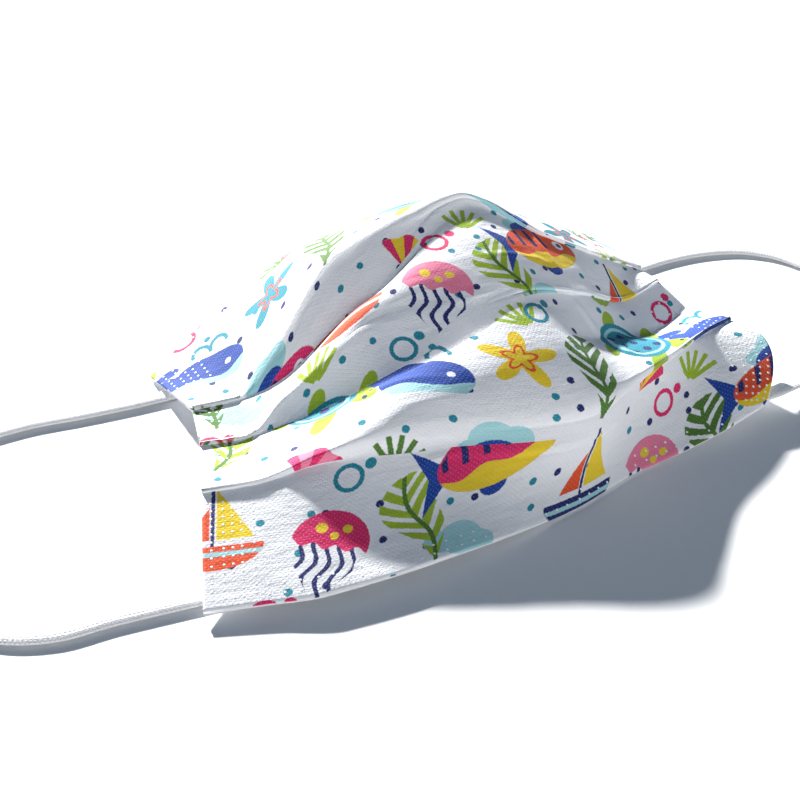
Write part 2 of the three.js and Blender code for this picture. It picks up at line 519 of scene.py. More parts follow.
class Value:
    """A wrapped output socket: Python's operators on it add Math nodes."""

    def __init__(self, tree: Tree, socket: bpy.types.NodeSocket) -> None:
        """Keeps the socket.

        Args:
            tree: the tree that it is in.
            socket: the output socket.
        """
        self.tree = tree
        self.socket = socket

    def maths(self, operation: str, *others: object, clamp: bool = False) -> "Value":
        """Adds a Math node with this value first.

        Args:
            operation: the node's operation.
            others: its other values.
            clamp: whether the result is kept between 0 and 1.

        Returns:
            The result.
        """
        made = self.tree.node("ShaderNodeMath", {"operation": operation, "use_clamp": clamp})
        for socket, value in zip(made.inputs, (self, *others)):
            self.tree.plug(socket, value)
        return self.tree.value(made)

    def vector(self, operation: str, *others: object, output: int = 0) -> "Value":
        """Adds a Vector Math node with this value first.

        Args:
            operation: the node's operation.
            others: its other values.
            output: which output is wanted, 1 for a number.

        Returns:
            The result.
        """
        made = self.tree.node("ShaderNodeVectorMath", {"operation": operation})
        for socket, value in zip(made.inputs, (self, *others)):
            self.tree.plug(socket, value)
        return self.tree.value(made, output)

    def _swapped(self, operation: str, other: float) -> "Value":
        """Adds a Math node with a number first and this value second."""
        made = self.tree.node("ShaderNodeMath", {"operation": operation}, i0=other, i1=self)
        return self.tree.value(made)

    def __add__(self, other: object) -> "Value":
        """Adds."""
        return self.maths("ADD", other)

    __radd__ = __add__

    def __sub__(self, other: object) -> "Value":
        """Subtracts."""
        return self.maths("SUBTRACT", other)

    def __rsub__(self, other: float) -> "Value":
        """Subtracts this from a number."""
        return self._swapped("SUBTRACT", other)

    def __mul__(self, other: object) -> "Value":
        """Multiplies."""
        return self.maths("MULTIPLY", other)

    __rmul__ = __mul__

    def __truediv__(self, other: object) -> "Value":
        """Divides."""
        return self.maths("DIVIDE", other)

    def __rtruediv__(self, other: float) -> "Value":
        """Divides a number by this."""
        return self._swapped("DIVIDE", other)

    def __abs__(self) -> "Value":
        """Drops the sign."""
        return self.maths("ABSOLUTE")

    def clamped(self) -> "Value":
        """Keeps the value between 0 and 1."""
        return self.maths("MULTIPLY", 1.0, clamp=True)

    def both(self, other: object) -> "Value":
        """Keeps where both shapes are, as distances."""
        return self.maths("MAXIMUM", other)

    def either(self, other: object) -> "Value":
        """Keeps where either shape is, as distances."""
        return self.maths("MINIMUM", other)

    def parts(self) -> tuple["Value", "Value"]:
        """Splits a vector into its X and Y."""
        made = self.tree.node("ShaderNodeSeparateXYZ", i0=self)
        return self.tree.value(made, 0), self.tree.value(made, 1)

    def joined(self, other: "Value") -> "Value":
        """Joins this as X and another value as Y into a vector."""
        return self.tree.value(self.tree.node("ShaderNodeCombineXYZ", i0=self, i1=other))

    def turned(self, degrees: float) -> "Value":
        """Turns a flat place about the origin.

        Args:
            degrees: the angle.

        Returns:
            The turned place.
        """
        angle = math.radians(degrees)
        made = self.tree.node(
            "ShaderNodeVectorRotate", {"rotation_type": "Z_AXIS"}, Vector=self, Angle=angle
        )
        return self.tree.value(made)

    def mixed(self, under: object, over: object) -> "Value":
        """Mixes two colours: the first where this is 0 and the second where it is 1."""
        made = self.tree.node("ShaderNodeMix", {"data_type": "RGBA"}, i0=self, i6=under, i7=over)
        return self.tree.value(made, 2)


Layers = list[tuple[Value, object]]  # masks and their inks, the lowest first


# ---- Finishes -----------------------------------------------------------------------


class Ink(Enum):
    """Colours of the print, as linear red, green and blue."""

    ORANGE = (0.80, 0.085, 0.018)
    YELLOW = (0.86, 0.62, 0.022)
    ROYAL = (0.006, 0.055, 0.34)
    NAVY = (0.010, 0.018, 0.14)
    TEAL = (0.010, 0.25, 0.34)
    AQUA = (0.38, 0.68, 0.72)
    LIME = (0.34, 0.49, 0.022)
    MOSS = (0.075, 0.19, 0.022)
    MAGENTA = (0.74, 0.020, 0.14)
    PINK = (0.82, 0.21, 0.34)
    CLOTH = (0.86, 0.87, 0.90)

    @property
    def rgba(self) -> Rgba:
        """Returns the colour with full alpha, as a socket wants it."""
        return (*self.value, 1.0)


class Motif(Enum):
    """What the print shows, by the method of SeaPrint that draws it."""

    CLOUD = "cloud"
    KELP = "kelp"
    WHALE = "whale"
    SHELL = "shell"
    STAR = "star"
    JELLY = "jelly"
    BOAT = "boat"
    TURTLE = "turtle"
    FISH = "fish"
    TUFT = "tuft"
    RING = "ring"


@dataclass(frozen=True)
class Placed:
    """A motif in the print's tile: its centre in millimetres and its turn in degrees."""

    motif: Motif
    centre: tuple[float, float]
    turn: float = 0.0


LAYOUT = (
    Placed(Motif.CLOUD, centre=(-27, 12), turn=10),
    Placed(Motif.CLOUD, centre=(19, -25), turn=-20),
    Placed(Motif.KELP, centre=(-27, -12), turn=12),
    Placed(Motif.KELP, centre=(33, 17), turn=-24),
    Placed(Motif.WHALE, centre=(9, -12), turn=4),
    Placed(Motif.SHELL, centre=(-12, -26), turn=25),
    Placed(Motif.STAR, centre=(27, -8), turn=10),
    Placed(Motif.JELLY, centre=(17, 13), turn=14),
    Placed(Motif.BOAT, centre=(-2, 18), turn=-6),
    Placed(Motif.TURTLE, centre=(-9, -6), turn=35),
    Placed(Motif.FISH, centre=(-22, 27), turn=-14),
    Placed(Motif.TUFT, centre=(-9, 8), turn=10),
    Placed(Motif.TUFT, centre=(31, 3), turn=-20),
    Placed(Motif.TUFT, centre=(3, -27), turn=15),
    Placed(Motif.RING, centre=(8, 2)),
    Placed(Motif.RING, centre=(-33, 3)),
    Placed(Motif.RING, centre=(20, 27)),
)


@dataclass(frozen=True)
class SeaPrint:
    """A repeating seaside print of animals, boats, plants, bubbles and dots."""

    tile: tuple[float, float] = (68.0, 60.0)
    scale: float = 1.25
    row_shift: float = 25.0
    turn_deg: float = 8.0
    edge: float = 0.16  # width of an ink's soft edge
    ragged: float = 0.28  # how far the fibres draw the ink
    fibre_scale: float = 1.6
    luck: Row = (0.618, 0.382, 0.13)  # by row, by column and by the motif's place
    dots_per_mm: float = 0.118
    dot_radius: float = 0.718
    dot_scatter: float = 0.78
    navy_dots: float = 0.46  # share of the dots

    def colour(self, shade: Shade, flat: Value) -> Value:
        """Draws the print.

        Args:
            shade: the tree to draw in.
            flat: flat cloth coordinates in millimetres.

        Returns:
            The colour of the printed cloth.
        """
        rough = shade.flat_noise(flat, self.fibre_scale, 2.0, output=1)
        wobble = rough.vector("SUBTRACT", (0.5, 0.5, 0.5))
        spread = wobble.vector("MULTIPLY", (self.ragged, self.ragged, 0))
        place = flat.vector("MULTIPLY_ADD", (1 / self.scale, 1 / self.scale, 0), spread)
        place = place.turned(self.turn_deg)
        colour = self.dots(shade, place)
        for placed in LAYOUT:
            draw = getattr(self, placed.motif.value)
            for mask, ink in draw(*self.local(place, placed.centre, placed.turn)):
                colour = mask.mixed(colour, ink)
        return colour

    def local(self, place: Value, centre: tuple[float, float], turn: float) -> tuple[Value, Value]:
        """Moves to the nearest repeat of a motif.

        Args:
            place: the place on the cloth, in millimetres.
            centre: the motif's centre in the tile.
            turn: the motif's turn in degrees.

        Returns:
            The place as a vector from the motif's centre, and a random number of the repeat.
        """
        width, height = self.tile
        x, y = place.vector("SUBTRACT", (*centre, 0)).parts()
        row = (y / height + 0.5).maths("FLOOR")
        x = x - row * self.row_shift
        column = (x / width + 0.5).maths("FLOOR")
        from_centre = (x - column * width).joined(y - row * height)
        by_row, by_column, by_place = self.luck
        lucky = (row * by_row + column * by_column + centre[0] * by_place).maths("FRACT")
        return from_centre.turned(turn), lucky

    def mask(self, distance: Value) -> Value:
        """Returns 1 where a distance in millimetres is negative, with a soft edge."""
        return distance.maths("MULTIPLY_ADD", -1.0 / self.edge, 0.5, clamp=True)

    def oval(self, at: Value, centre: tuple[float, float], reach: tuple[float, float]) -> Value:
        """Measures how far a place lies outside an oval.

        Args:
            at: the place.
            centre: the oval's centre.
            reach: its half widths.

        Returns:
            The distance in millimetres, negative inside.
        """
        scale = (1 / reach[0], 1 / reach[1], 0)
        shift = (-centre[0] / reach[0], -centre[1] / reach[1], 0)
        return (at.vector("MULTIPLY_ADD", scale, shift).vector("LENGTH", output=1) - 1) * min(reach)

    def dots(self, shade: Shade, place: Value) -> Value:
        """Scatters small navy and teal dots on the white cloth.

        Args:
            shade: the tree to draw in.
            place: the place in the print's millimetres.

        Returns:
            The colour of the dotted cloth.
        """
        cells = shade.node(
            "ShaderNodeTexVoronoi",
            {"voronoi_dimensions": "2D", "feature": "F1"},
            Vector=place,
            Scale=self.dots_per_mm,
            Randomness=self.dot_scatter,
        )
        lucky = shade.value(cells, 1).parts()[0]
        tint = lucky.maths("GREATER_THAN", self.navy_dots).mixed(Ink.NAVY.rgba, Ink.TEAL.rgba)
        distance = shade.value(cells, 0) * (1 / self.dots_per_mm) - self.dot_radius
        return self.mask(distance).mixed(Ink.CLOTH.rgba, tint)

    def two(self, lucky: Value, first: Ink, second: Ink) -> Value:
        """Chooses between two inks by a repeat's random number."""
        return lucky.maths("GREATER_THAN", 0.5).mixed(first.rgba, second.rgba)

    def cloud(self, at: Value, lucky: Value) -> Layers:
        """Draws a pale puff of spray.

        Args:
            at: the place from the motif's centre.
            lucky: the repeat's random number, not used.

        Returns:
            Its masks and inks, the lowest first.
        """
        body = self.oval(at, (0, 0), (4.2, 3.4))
        body = body.either(self.oval(at, (3.8, -0.8), (3.2, 2.4)))
        body = body.either(self.oval(at, (-3.8, -0.9), (3.2, 2.2)))
        return [(self.mask(body), Ink.AQUA.rgba)]

    def kelp(self, at: Value, lucky: Value) -> Layers:
        """Draws a frond of kelp with slanted leaves.

        Args:
            at: the place from the motif's centre.
            lucky: the repeat's random number.

        Returns:
            Its masks and inks, the lowest first.
        """
        x, y = at.parts()
        sway = x + (y * 0.4).maths("SINE") * 0.9
        side = abs(sway)
        slant = y - side * 0.9
        leaf = abs((slant / 3.1).maths("FRACT") - 0.5) * 3.1 - 0.95
        spread = side + slant * slant * 0.055 - 4.9
        leaves = leaf.both(spread)
        stem = (side - 0.42).both(abs(y) - 9.2)
        tint = self.two(lucky, Ink.LIME, Ink.MOSS)
        return [(self.mask(leaves), tint), (self.mask(stem), Ink.MOSS.rgba)]

    def whale(self, at: Value, lucky: Value) -> Layers:
        """Draws a whale with a pale belly, blowing.

        Args:
            at: the place from the motif's centre.
            lucky: the repeat's random number, not used.

        Returns:
            Its masks and inks, the lowest first.
        """
        x, y = at.parts()
        body = self.oval(at, (1.0, -0.4), (8.2, 5.4)).both(-4.0 - y)
        tail = self.oval(at, (-7.6, 2.2), (2.6, 2.0))
        tail = tail.either(self.oval(at, (-10.4, 5.2), (2.7, 1.7)))
        tail = tail.either(self.oval(at, (-6.6, 5.6), (2.5, 1.5)))
        belly = body.both(y + 1.9 + (x * 0.5).maths("SINE") * 0.5)
        near_jet = abs(self.oval(at, (4.7, 6.4), (1.9, 2.4))) - 0.42
        far_jet = abs(self.oval(at, (0.9, 6.4), (1.9, 2.4))) - 0.42
        spout = near_jet.either(far_jet).both(6.0 - y)
        eye = self.oval(at, (5.6, 0.3), (0.7, 0.7))
        return [
            (self.mask(spout), Ink.TEAL.rgba),
            (self.mask(body.either(tail)), Ink.ROYAL.rgba),
            (self.mask(belly), Ink.AQUA.rgba),
            (self.mask(eye), Ink.CLOTH.rgba),
        ]

    def tuft(self, at: Value, lucky: Value) -> Layers:
        """Draws a small tuft of seagrass, five blades from one root.

        Args:
            at: the place from the motif's centre.
            lucky: the repeat's random number.

        Returns:
            Its masks and inks, the lowest first.
        """
        x, y = at.parts()
        lean = x.maths("ARCTAN2", y + 3.4) * 2.5
        reach = at.vector("DISTANCE", (0, -3.4, 0), output=1)
        blade = (abs((lean + 0.5).maths("FRACT") - 0.5) * reach * 0.4 - 0.50).both(reach - 6.4)
        blades = blade.both(abs(lean) - 2.5).both(0.7 - reach)
        return [(self.mask(blades), self.two(lucky, Ink.MOSS, Ink.LIME))]

    def ring(self, at: Value, lucky: Value) -> Layers:
        """Draws an air bubble, a ring with a smaller disc beside it.

        Args:
            at: the place from the motif's centre.
            lucky: the repeat's random number.

        Returns:
            Its masks and inks, the lowest first.
        """
        outline = abs(self.oval(at, (0, 0), (2.3, 2.3))) - 0.42
        beside = self.oval(at, (3.6, 2.2), (1.0, 1.0))
        return [(self.mask(outline.either(beside)), self.two(lucky, Ink.MAGENTA, Ink.TEAL))]

    def shell(self, at: Value, lucky: Value) -> Layers:
        """Draws a ribbed fan shell.

        Args:
            at: the place from the motif's centre.
            lucky: the repeat's random number.

        Returns:
            Its masks and inks, the lowest first.
        """
        x, y = at.parts()
        angle = x.maths("ARCTAN2", y + 4.2)
        reach = at.vector("DISTANCE", (0, -4.2, 0), output=1)
        rib = (angle * 9.0).maths("COSINE")
        fan = (reach - rib * 0.35 - 7.6).both(abs(angle) * 4.0 - 3.3)
        ribs = fan.both(0.15 - rib)
        tint = self.two(lucky, Ink.PINK, Ink.YELLOW)
        return [(self.mask(fan), tint), (self.mask(ribs), Ink.MAGENTA.rgba)]

    def star(self, at: Value, lucky: Value) -> Layers:
        """Draws a starfish with a spotted middle.

        Args:
            at: the place from the motif's centre.
            lucky: the repeat's random number.

        Returns:
            Its masks and inks, the lowest first.
        """
        x, y = at.parts()
        reach = at.vector("LENGTH", output=1)
        arms = (x.maths("ARCTAN2", y) * 5.0).maths("COSINE")
        body = (reach - arms * 2.3 - 4.6) * 0.7
        spots = abs(reach - 2.2 - arms * 0.8) - 0.35
        tint = self.two(lucky, Ink.YELLOW, Ink.TEAL)
        return [(self.mask(body), tint), (self.mask(spots), Ink.ORANGE.rgba)]

    def jelly(self, at: Value, lucky: Value) -> Layers:
        """Draws a jellyfish with wavy arms.

        Args:
            at: the place from the motif's centre.
            lucky: the repeat's random number.

        Returns:
            Its masks and inks, the lowest first.
        """
        x, y = at.parts()
        bell = self.oval(at, (0, 2), (6.8, 6.2)).both(1.2 - y + (x * 1.6).maths("SINE") * 0.5)
        sway = x + (y * 0.9).maths("SINE") * 0.7
        arms = abs((sway / 2.3 + 0.5).maths("FRACT") - 0.5) * 2.3 - 0.42
        arms = arms.both(abs(x) * 1.3 - y - 9.5).both(abs(x) - 5.2).both(y - 2.2)
        spots = self.oval(at, (-2.4, 4.6), (1.1, 1.0)).either(self.oval(at, (2.2, 5.0), (0.9, 0.8)))
        spots = spots.either(self.oval(at, (0.2, 3.4), (0.8, 0.7)))
        tint = self.two(lucky, Ink.MAGENTA, Ink.PINK)
        return [
            (self.mask(arms), Ink.NAVY.rgba),
            (self.mask(bell), tint),
            (self.mask(spots), Ink.YELLOW.rgba),
        ]

    def boat(self, at: Value, lucky: Value) -> Layers:
        """Draws a small boat with two sails.

        Args:
            at: the place from the motif's centre.
            lucky: the repeat's random number.

        Returns:
            Its masks and inks, the lowest first.
        """
        x, y = at.parts()
        hull = self.oval(at, (0, -3.2), (8.2, 4.6)).both(y + 3.0)
        band = hull.both(abs(y + 4.6) - 0.45)
        big = (0.6 - x).both(-1.8 - y).both(x * 0.86 + y * 0.5 - 4.9)
        small = (x + 0.5).both(-1.8 - y).both(y * 0.55 - x * 0.83 - 3.2)
        mast = (abs(x) - 0.32).both(abs(y - 3.0) - 6.4)
        tint = self.two(lucky, Ink.NAVY, Ink.ORANGE)
        return [
            (self.mask(mast), Ink.NAVY.rgba),
            (self.mask(big), Ink.YELLOW.rgba),
            (self.mask(small), Ink.ORANGE.rgba),
            (self.mask(hull), tint),
            (self.mask(band), Ink.AQUA.rgba),
        ]

    def turtle(self, at: Value, lucky: Value) -> Layers:
        """Draws a turtle from above.

        Args:
            at: the place from the motif's centre.
            lucky: the repeat's random number, not used.

        Returns:
            Its masks and inks, the lowest first.
        """
        x, y = at.parts()
        half = x.joined(abs(y))
        limbs = self.oval(half, (4.6, 6.6), (1.9, 4.2))
        limbs = limbs.either(self.oval(half, (-5.6, 5.0), (1.7, 2.7)))
        limbs = limbs.either(self.oval(at, (9.6, 0), (2.9, 2.3)))
        case = self.oval(at, (0, 0), (8.0, 6.4))
        rim = abs(case + 1.3) - 0.32
        plates = 0.42 - (x * 1.25).maths("COSINE") * (y * 1.25).maths("COSINE")
        eye = self.oval(half, (10.6, 1.2), (0.5, 0.5))
        return [
            (self.mask(limbs), Ink.LIME.rgba),
            (self.mask(case), Ink.TEAL.rgba),
            (self.mask(plates.both(case + 1.6)), Ink.NAVY.rgba),
            (self.mask(rim.both(case)), Ink.AQUA.rgba),
            (self.mask(eye), Ink.NAVY.rgba),
        ]

    def fish(self, at: Value, lucky: Value) -> Layers:
        """Draws a banded fish with a yellow belly.

        Args:
            at: the place from the motif's centre.
            lucky: the repeat's random number.

        Returns:
            Its masks and inks, the lowest first.
        """
        x, y = at.parts()
        body = self.oval(at, (0, 0), (10.5, 6.0))
        behind = -7.6 - x
        tail = ((abs(y) - behind * 0.95) * 0.72).both(behind - 4.6 - abs(y) * 0.35)
        fins = self.oval(at, (-0.5, 5.4), (4.8, 3.0)).either(self.oval(at, (-1.0, -5.4), (2.6, 2.4)))
        belly = body.both(y + 1.9 + (x * 0.7).maths("SINE") * 0.6)
        bands = abs((x / 3.6).maths("FRACT") - 0.5) * 3.6 - 0.55
        bands = bands.both(0.2 - y).both(x - 4.0).both(body + 0.2)
        eye = self.oval(at, (6.6, 1.4), (1.5, 1.5))
        pupil = self.oval(at, (6.9, 1.4), (0.7, 0.7))
        tint = self.two(lucky, Ink.ORANGE, Ink.MAGENTA)
        return [
            (self.mask(fins.either(tail)), Ink.ROYAL.rgba),
            (self.mask(body), tint),
            (self.mask(belly), Ink.YELLOW.rgba),
            (self.mask(bands), Ink.NAVY.rgba),
            (self.mask(eye), Ink.CLOTH.rgba),
            (self.mask(pupil), Ink.NAVY.rgba),
        ]


@dataclass(frozen=True)
class Nonwoven:
    """Spunbond cloth: fine fibres, pressed points and faint crinkles, printed or white."""

    name: str
    sea_print: SeaPrint | None
    shadow: Rgba = (0.76, 0.78, 0.82, 1.0)
    roughness: float = 0.78
    press_pitch: float = 1.15
    press_sharpness: float = 1.6
    press_least: float = 0.7
    fibre_scale: float = 3.2
    crinkles_per_mm: tuple[float, float] = (0.30, 0.80)
    pressed_paleness: float = 0.15  # how far a pressed point hides the ink
    fibre_paleness: float = 0.22  # and how far a raised fibre does
    fibre_height: float = 0.4  # heights are shares of the relief
    crinkle_height: float = 0.9
    press_depth: float = 0.45
    relief: float = 0.24
    relief_strength: float = 0.55

    def material(self) -> bpy.types.Material:
        """Makes the cloth.

        Returns:
            Its material.
        """
        shade = Shade(self.name)
        flat = shade.flat_place()
        x, y = flat.parts()
        turn = 2 * math.pi / self.press_pitch
        press = (x * turn).maths("COSINE") * (y * turn).maths("COSINE")
        press = press.maths("MULTIPLY_ADD", self.press_sharpness, -self.press_least, clamp=True)
        fibres = shade.flat_noise(flat, self.fibre_scale, 3.0)
        crinkle = shade.flat_noise(flat.vector("MULTIPLY", (*self.crinkles_per_mm, 0.0)), 1.0, 3.0)
        if self.sea_print:
            colour = self.sea_print.colour(shade, flat)
            speck = press * self.pressed_paleness + (fibres - 0.5) * self.fibre_paleness
            colour = speck.clamped().mixed(colour, Ink.CLOTH.rgba)
        else:
            colour = ((fibres - 0.4) * 0.4).mixed(Ink.CLOTH.rgba, self.shadow)
        raised = fibres * self.fibre_height + crinkle * self.crinkle_height
        height = raised - press * self.press_depth
        return shade.finish(
            Base_Color=colour,
            Roughness=self.roughness,
            Normal=shade.bump(height, self.relief_strength, self.relief),
            Sheen_Weight=0.05,
            Specular_IOR_Level=0.2,
        )


@dataclass(frozen=True)
class WeldGloss:
    """Cloth melted flat by a welding point."""

    name: str
    shadow: Rgba = (0.80, 0.83, 0.88, 1.0)
    light: Rgba = (0.92, 0.93, 0.95, 1.0)
    roughness: float = 0.38
    grains_per_metre: float = 900.0

    def material(self) -> bpy.types.Material:
        """Makes the weld.

        Returns:
            Its material.
        """
        shade = Shade(self.name)
        place = shade.value(shade.node("ShaderNodeTexCoord"), "Object")
        noise = shade.node(
            "ShaderNodeTexNoise", Vector=place, Scale=self.grains_per_metre, Detail=2.0
        )
        colour = shade.value(noise).mixed(self.shadow, self.light)
        return shade.finish(Base_Color=colour, Roughness=self.roughness)


@dataclass(frozen=True)
class KnitElastic:
    """Soft white knitted elastic: cross courses and fine lengthwise wales, with painted shade darkening
    the knit's hollows.
    """

    name: str
    # light is the elastic's own colour; shadow is a painted shade colour for the knit's hollows
    light: Rgba = (0.93, 0.93, 0.94, 1.0)
    shadow: Rgba = (0.66, 0.67, 0.70, 1.0)
    roughness: float = 0.9
    course: float = 0.9
    wale: float = 0.62
    course_lean: float = 0.5
    fluff_scale: float = 2.2
    course_height: float = 0.4  # heights are shares of the relief
    wale_height: float = 0.25
    fluff_height: float = 0.9
    relief: float = 0.15
    relief_strength: float = 0.8

    def material(self) -> bpy.types.Material:
        """Makes the elastic.

        Returns:
            Its material.
        """
        shade = Shade(self.name)
        flat = shade.flat_place()
        x, y = flat.parts()
        lean = y + abs((x / self.wale).maths("FRACT") - 0.5) * self.course_lean
        course = (lean * (2 * math.pi / self.course)).maths("SINE")
        wale = (x * (2 * math.pi / self.wale)).maths("COSINE")
        fluff = shade.flat_noise(flat, self.fluff_scale, 3.0)
        knit = course * self.course_height + wale * self.wale_height
        height = knit + fluff * self.fluff_height
        # painted shade: where the knit's relief is low, the colour is mixed towards the darker shadow
        # colour
        knit_hollow_shade = (height * -0.10 + 0.12).clamped()
        return shade.finish(
            Base_Color=knit_hollow_shade.mixed(self.light, self.shadow),
            Roughness=self.roughness,
            Normal=shade.bump(height, self.relief_strength, self.relief),
            Sheen_Weight=0.3,
        )


@dataclass(frozen=True)
class PaleFloor:
    """A plain matt white surface."""

    name: str
    colour: Rgba = (0.86, 0.87, 0.88, 1.0)
    roughness: float = 0.9

    def material(self) -> bpy.types.Material:
        """Returns the floor's material."""
        return Shade(self.name).finish(Base_Color=self.colour, Roughness=self.roughness)


# ---- The mask's pieces --------------------------------------------------------------


@dataclass(frozen=True)
class WeldLayout:
    """Where the welding points lie on the cloth, in millimetres along it."""

    pitch: float = 2.0
    margin: float = 2.0
    zone: float = 10.5  # width of the welded strip along each side
    lower_margin: float = 1.0
    edge_pitch: float = 3.2
    edge_rows: tuple[float, float] = (2.0, 4.4)
    clear_of_folds: float = 0.8

    def flat_places(self, length_at: Callable[[float], float]) -> Iterator[tuple[float, float]]:
        """Lays out the points of the two sides, then of the nose and chin edges.

        Args:
            length_at: gives the cloth's length from nose to chin at a place across it.

        Yields:
            Each point's place from the left side and from the nose edge.
        """
        for is_right in (False, True):
            for line, inset in enumerate(np.arange(self.margin, self.zone, self.pitch)):
                place = FLAT_WIDTH - inset if is_right else inset
                first = self.margin + (line % 2) * self.pitch / 2
                for reach in np.arange(first, length_at(place) - self.lower_margin, self.pitch):
                    yield place, reach
        clear = self.zone + self.margin
        for inset in self.edge_rows:
            for place in np.arange(clear, FLAT_WIDTH - clear, self.edge_pitch):
                yield place, length_at(place) - inset
                yield place, inset


@dataclass
class PleatedCloth:
    """The pleated body: its printed outside, its white lining and its welding points."""

    columns: int = 240
    fold_cuts: int = 4
    fold_limit: float = 0.42  # a rounded fold takes no more than this share of a panel
    outer_thickness: float = 0.35
    lining_top: float = 0.45
    lining_bottom: float = 0.9
    lining_stride: int = 2
    table_gap: float = 0.08
    calm_rows: float = 6.0  # rows beside a fold over which the crinkles fade in
    calm_sides: tuple[float, float] = (0.03, 0.08)  # share inside a side, and the fade's width
    least_at_folds: float = 0.15  # share of the crinkles that is left at a fold
    least_at_sides: float = 0.35
    node: str = "mask_body"
    welds: WeldLayout = WeldLayout()

    def __post_init__(self) -> None:
        """Works out the cloth's surface once, for every piece of it."""
        self.share = np.linspace(0, 1, self.columns + 1)
        self.surface, self.row_panel, self.fold_rows = self.folded()
        self.flat = self.flat_lengths()
        self.surface = self.relieved()
        self.normals = self.outward(self.surface)

    def fold_lines(self) -> list[np.ndarray]:
        """Places the eight lines that the cloth is folded along.

        Returns:
            The lines from nose to chin, each an (n, 3) array.
        """
        lines = [NOSE_EDGE.points(self.share)]
        for ridge, pleat in zip(RIDGES, PLEATS):
            lines += [ridge.points(self.share), pleat.valley(ridge, self.share)]
        return lines + [CHIN_EDGE.points(self.share)]

    def softness(self) -> list[np.ndarray]:
        """Works out how far each fold is rounded.

        Returns:
            The rounding at each column, for each line from nose to chin.
        """
        rows = [NOSE_EDGE.softness]
        for ridge, pleat in zip(RIDGES, PLEATS):
            rows += [ridge.softness, pleat.softness]
        return [across(r, self.share) for r in rows + [CHIN_EDGE.softness]]

    def folded(self) -> tuple[np.ndarray, np.ndarray, list[int]]:
        """Folds the cloth.

        Returns:
            The surface as a (column, row, 3) array in millimetres, the panel between each
            row and the next, and the row of each fold.
        """
        lines, soft = self.fold_lines(), self.softness()
        spans = [lines[i + 1] - lines[i] for i in range(len(PANELS))]
        lengths = [np.linalg.norm(s, axis=1, keepdims=True) for s in spans]
        ways = [s / n for s, n in zip(spans, lengths)]
        rows, panel_of, fold_rows = [lines[0]], [], [0]
        reach_before = np.zeros((len(self.share), 1))
        for k, panel in enumerate(PANELS):
            is_last = k == len(PANELS) - 1
            reach_after = np.zeros_like(reach_before)
            if not is_last:
                limit = self.fold_limit * np.minimum(lengths[k], lengths[k + 1])
                reach_after = np.minimum(soft[k + 1][:, None], limit)
            outward = np.stack([np.zeros(len(self.share)), ways[k][:, 2], -ways[k][:, 1]], axis=1)
            start = reach_before / lengths[k]
            end = 1 - reach_after / lengths[k]
            for step in range(1, panel.cuts + 1):
                t = start + (end - start) * step / panel.cuts
                rows.append(panel.row(self.share, t, lines[k], spans[k], outward))
                panel_of.append(k)
            if is_last:
                fold_rows.append(len(rows) - 1)
                break
            corner = lines[k + 1]
            a, b = corner - ways[k] * reach_after, corner + ways[k + 1] * reach_after
            for step in range(1, self.fold_cuts + 1):
                t = step / self.fold_cuts
                rows.append(a * (1 - t) ** 2 + corner * 2 * t * (1 - t) + b * t * t)
                panel_of.append(k if step <= self.fold_cuts // 2 else k + 1)
                if step == self.fold_cuts // 2:
                    fold_rows.append(len(rows) - 1)
            reach_before = reach_after
        return np.stack(rows, axis=1), np.array(panel_of), fold_rows

    def flat_lengths(self) -> np.ndarray:
        """Lays the folded cloth out flat, panel by panel.

        Returns:
            How far each face's two ends lie from the nose edge, by column and row.
        """
        walked = walked_lengths(self.surface)
        starts = np.concatenate([[0.0], np.cumsum([p.flat for p in PANELS])])
        both = np.zeros((len(self.share), len(self.row_panel), 2))
        for j, k in enumerate(self.row_panel):
            anchor = self.fold_rows[k] if PANELS[k].hangs_from_top else self.fold_rows[k + 1]
            base = starts[k] if PANELS[k].hangs_from_top else starts[k + 1]
            both[:, j, 0] = base + walked[:, j] - walked[:, anchor]
            both[:, j, 1] = base + walked[:, j + 1] - walked[:, anchor]
        return both

    def outward(self, surface: np.ndarray) -> np.ndarray:
        """Finds the way out of the cloth.

        Args:
            surface: the surface as a (column, row, 3) array.

        Returns:
            Its unit normals.
        """
        along = np.gradient(surface, axis=0)
        down = np.gradient(surface, axis=1)
        normal = np.cross(down, along)
        return normal / np.maximum(np.linalg.norm(normal, axis=2, keepdims=True), 1e-9)

    def relieved(self) -> np.ndarray:
        """Adds the crinkles and creases to the surface.

        Returns:
            The surface, with no part of it lower than it was or than cloth on the table.
        """
        surface = self.surface
        below = np.concatenate([self.flat[:, :1, 0], self.flat[:, :, 1]], axis=1)
        lift = sum(ripple.over(surface[:, :, 0], below) for ripple in RIPPLES) * self.calm()
        lift += sum(crease.over(self.share[:, None] * FLAT_WIDTH, below) for crease in CREASES)
        moved = surface + self.outward(surface) * lift[:, :, None]
        moved[:, :, 2] = np.maximum(moved[:, :, 2], np.minimum(surface[:, :, 2], LYING_HEIGHT))
        return moved

    def calm(self) -> np.ndarray:
        """Works out how free the cloth is to crinkle.

        Returns:
            A share by column and row, least at the folds and sides and 1 between.
        """
        rows = np.arange(self.surface.shape[1])
        nearest = np.abs(rows[:, None] - np.array(self.fold_rows)[None, :]).min(axis=1)
        inside = np.minimum(self.share, 1 - self.share)
        start, width = self.calm_sides
        by_row = self.least_at_folds + (1 - self.least_at_folds) * smooth_step(nearest / self.calm_rows)
        by_column = smooth_step((inside - start) / width)
        by_column = self.least_at_sides + (1 - self.least_at_sides) * by_column
        return by_column[:, None] * by_row[None, :]

